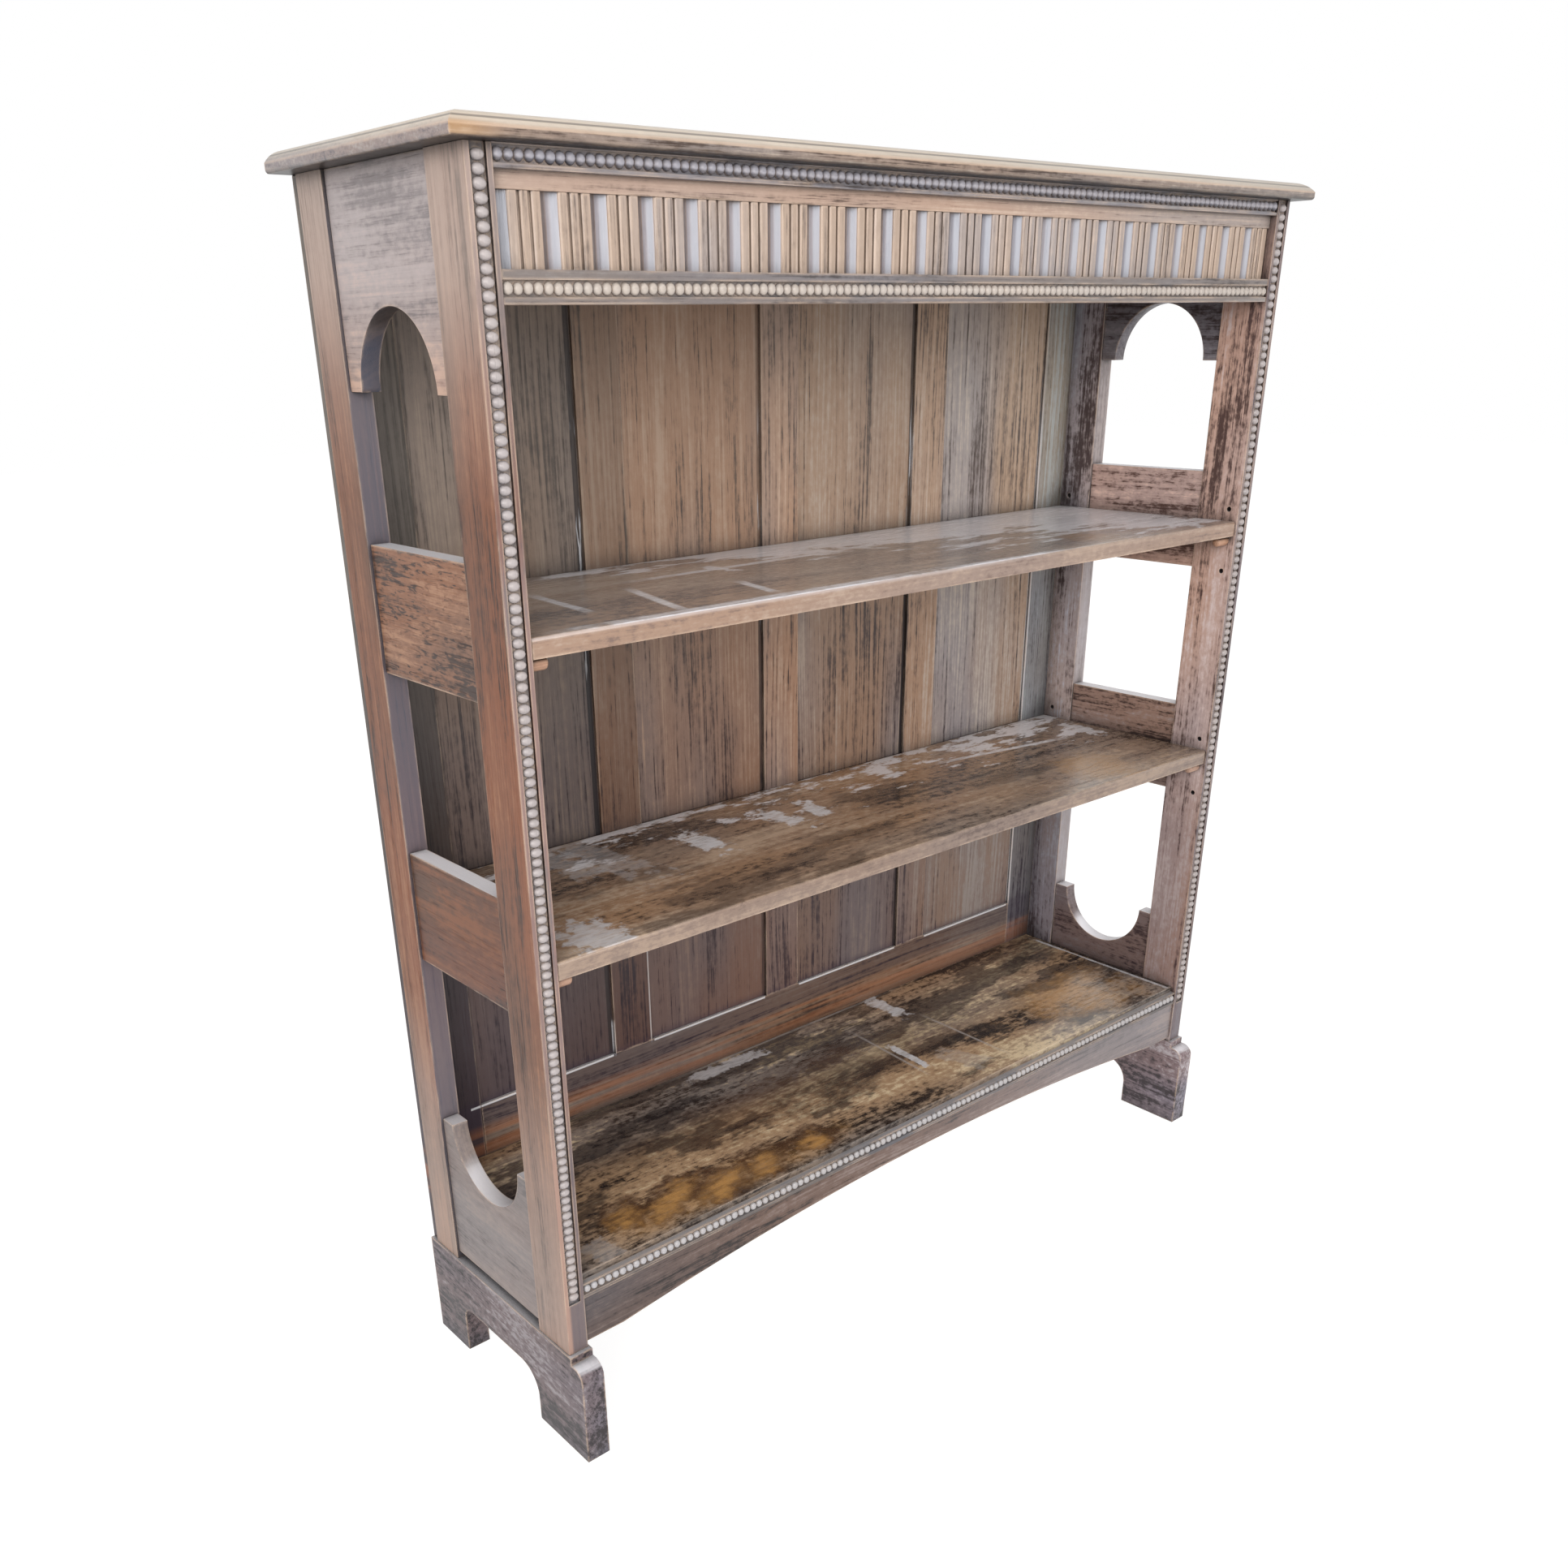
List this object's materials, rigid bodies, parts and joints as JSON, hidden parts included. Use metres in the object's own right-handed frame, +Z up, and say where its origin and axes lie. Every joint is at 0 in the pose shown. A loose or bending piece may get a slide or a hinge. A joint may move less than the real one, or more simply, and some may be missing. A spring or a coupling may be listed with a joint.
{
  "type": "open bookcase",
  "caption": "Dark oak open bookcase with pierced side frames on sled feet, a fluted and beaded frieze, loose shelves on pegs and a panelled back.",
  "frame": {"origin": "on the floor, under the middle of the whole bookcase", "axes": "+Z up, the open front towards -Y, +X to the right seen from the front"},
  "size_m": [1.15, 0.316, 1.248],
  "materials": {
    "case_wood": "satin",
    "carved_wood": "satin",
    "shelf_wood": "gloss",
    "back_wood": "satin",
    "peg_wood": "satin"
  },
  "bodies": {
    "case": {"apron": "case_wood", "apron_beads": "carved_wood", "back_bottom_rail": "back_wood", "back_left_stile": "back_wood", "back_muntin_1": "back_wood", "back_muntin_2": "back_wood", "back_muntin_3": "back_wood", "back_panel_1": "back_wood", "back_panel_2": "back_wood", "back_panel_3": "back_wood", "back_panel_4": "back_wood", "back_right_stile": "back_wood", "back_top_rail": "back_wood", "bottom_board": "shelf_wood", "fluted_panel": "carved_wood", "frieze_board": "case_wood", "frieze_lower_beads": "carved_wood", "frieze_upper_beads": "carved_wood", "left_board_cleat": "back_wood", "left_bottom_rail": "case_wood", "left_foot": "case_wood", "left_front_stile": "case_wood", "left_lower_rail": "case_wood", "left_rear_stile": "case_wood", "left_stile_beads": "carved_wood", "left_top_rail": "case_wood", "left_upper_rail": "case_wood", "right_board_cleat": "back_wood", "right_bottom_rail": "case_wood", "right_foot": "case_wood", "right_front_stile": "case_wood", "right_lower_rail": "case_wood", "right_rear_stile": "case_wood", "right_stile_beads": "carved_wood", "right_top_rail": "case_wood", "right_upper_rail": "case_wood", "top_board": "case_wood", "top_glue_blocks": "back_wood"},
    "lower_shelf": {"lower_shelf": "shelf_wood"},
    "upper_shelf": {"upper_shelf": "shelf_wood"},
    "lower_left_front_peg": {"lower_left_front_peg": "peg_wood"},
    "lower_left_rear_peg": {"lower_left_rear_peg": "peg_wood"},
    "lower_right_front_peg": {"lower_right_front_peg": "peg_wood"},
    "lower_right_rear_peg": {"lower_right_rear_peg": "peg_wood"},
    "upper_left_front_peg": {"upper_left_front_peg": "peg_wood"},
    "upper_left_rear_peg": {"upper_left_rear_peg": "peg_wood"},
    "upper_right_front_peg": {"upper_right_front_peg": "peg_wood"},
    "upper_right_rear_peg": {"upper_right_rear_peg": "peg_wood"}
  },
  "joints": [
    {"name": "lower_shelf_slide", "type": "slide", "parent": "case", "child": "lower_shelf", "axis": [0, -1, 0], "range_m": [0, 0.3]},
    {"name": "upper_shelf_slide", "type": "slide", "parent": "case", "child": "upper_shelf", "axis": [0, -1, 0], "range_m": [0, 0.3]},
    {"name": "lower_left_front_peg_pull", "type": "slide", "parent": "case", "child": "lower_left_front_peg", "axis": [1, 0, 0], "range_m": [0, 0.02]},
    {"name": "lower_left_rear_peg_pull", "type": "slide", "parent": "case", "child": "lower_left_rear_peg", "axis": [1, 0, 0], "range_m": [0, 0.02]},
    {"name": "lower_right_front_peg_pull", "type": "slide", "parent": "case", "child": "lower_right_front_peg", "axis": [-1, 0, 0], "range_m": [0, 0.02]},
    {"name": "lower_right_rear_peg_pull", "type": "slide", "parent": "case", "child": "lower_right_rear_peg", "axis": [-1, 0, 0], "range_m": [0, 0.02]},
    {"name": "upper_left_front_peg_pull", "type": "slide", "parent": "case", "child": "upper_left_front_peg", "axis": [1, 0, 0], "range_m": [0, 0.02]},
    {"name": "upper_left_rear_peg_pull", "type": "slide", "parent": "case", "child": "upper_left_rear_peg", "axis": [1, 0, 0], "range_m": [0, 0.02]},
    {"name": "upper_right_front_peg_pull", "type": "slide", "parent": "case", "child": "upper_right_front_peg", "axis": [-1, 0, 0], "range_m": [0, 0.02]},
    {"name": "upper_right_rear_peg_pull", "type": "slide", "parent": "case", "child": "upper_right_rear_peg", "axis": [-1, 0, 0], "range_m": [0, 0.02]}
  ]
}
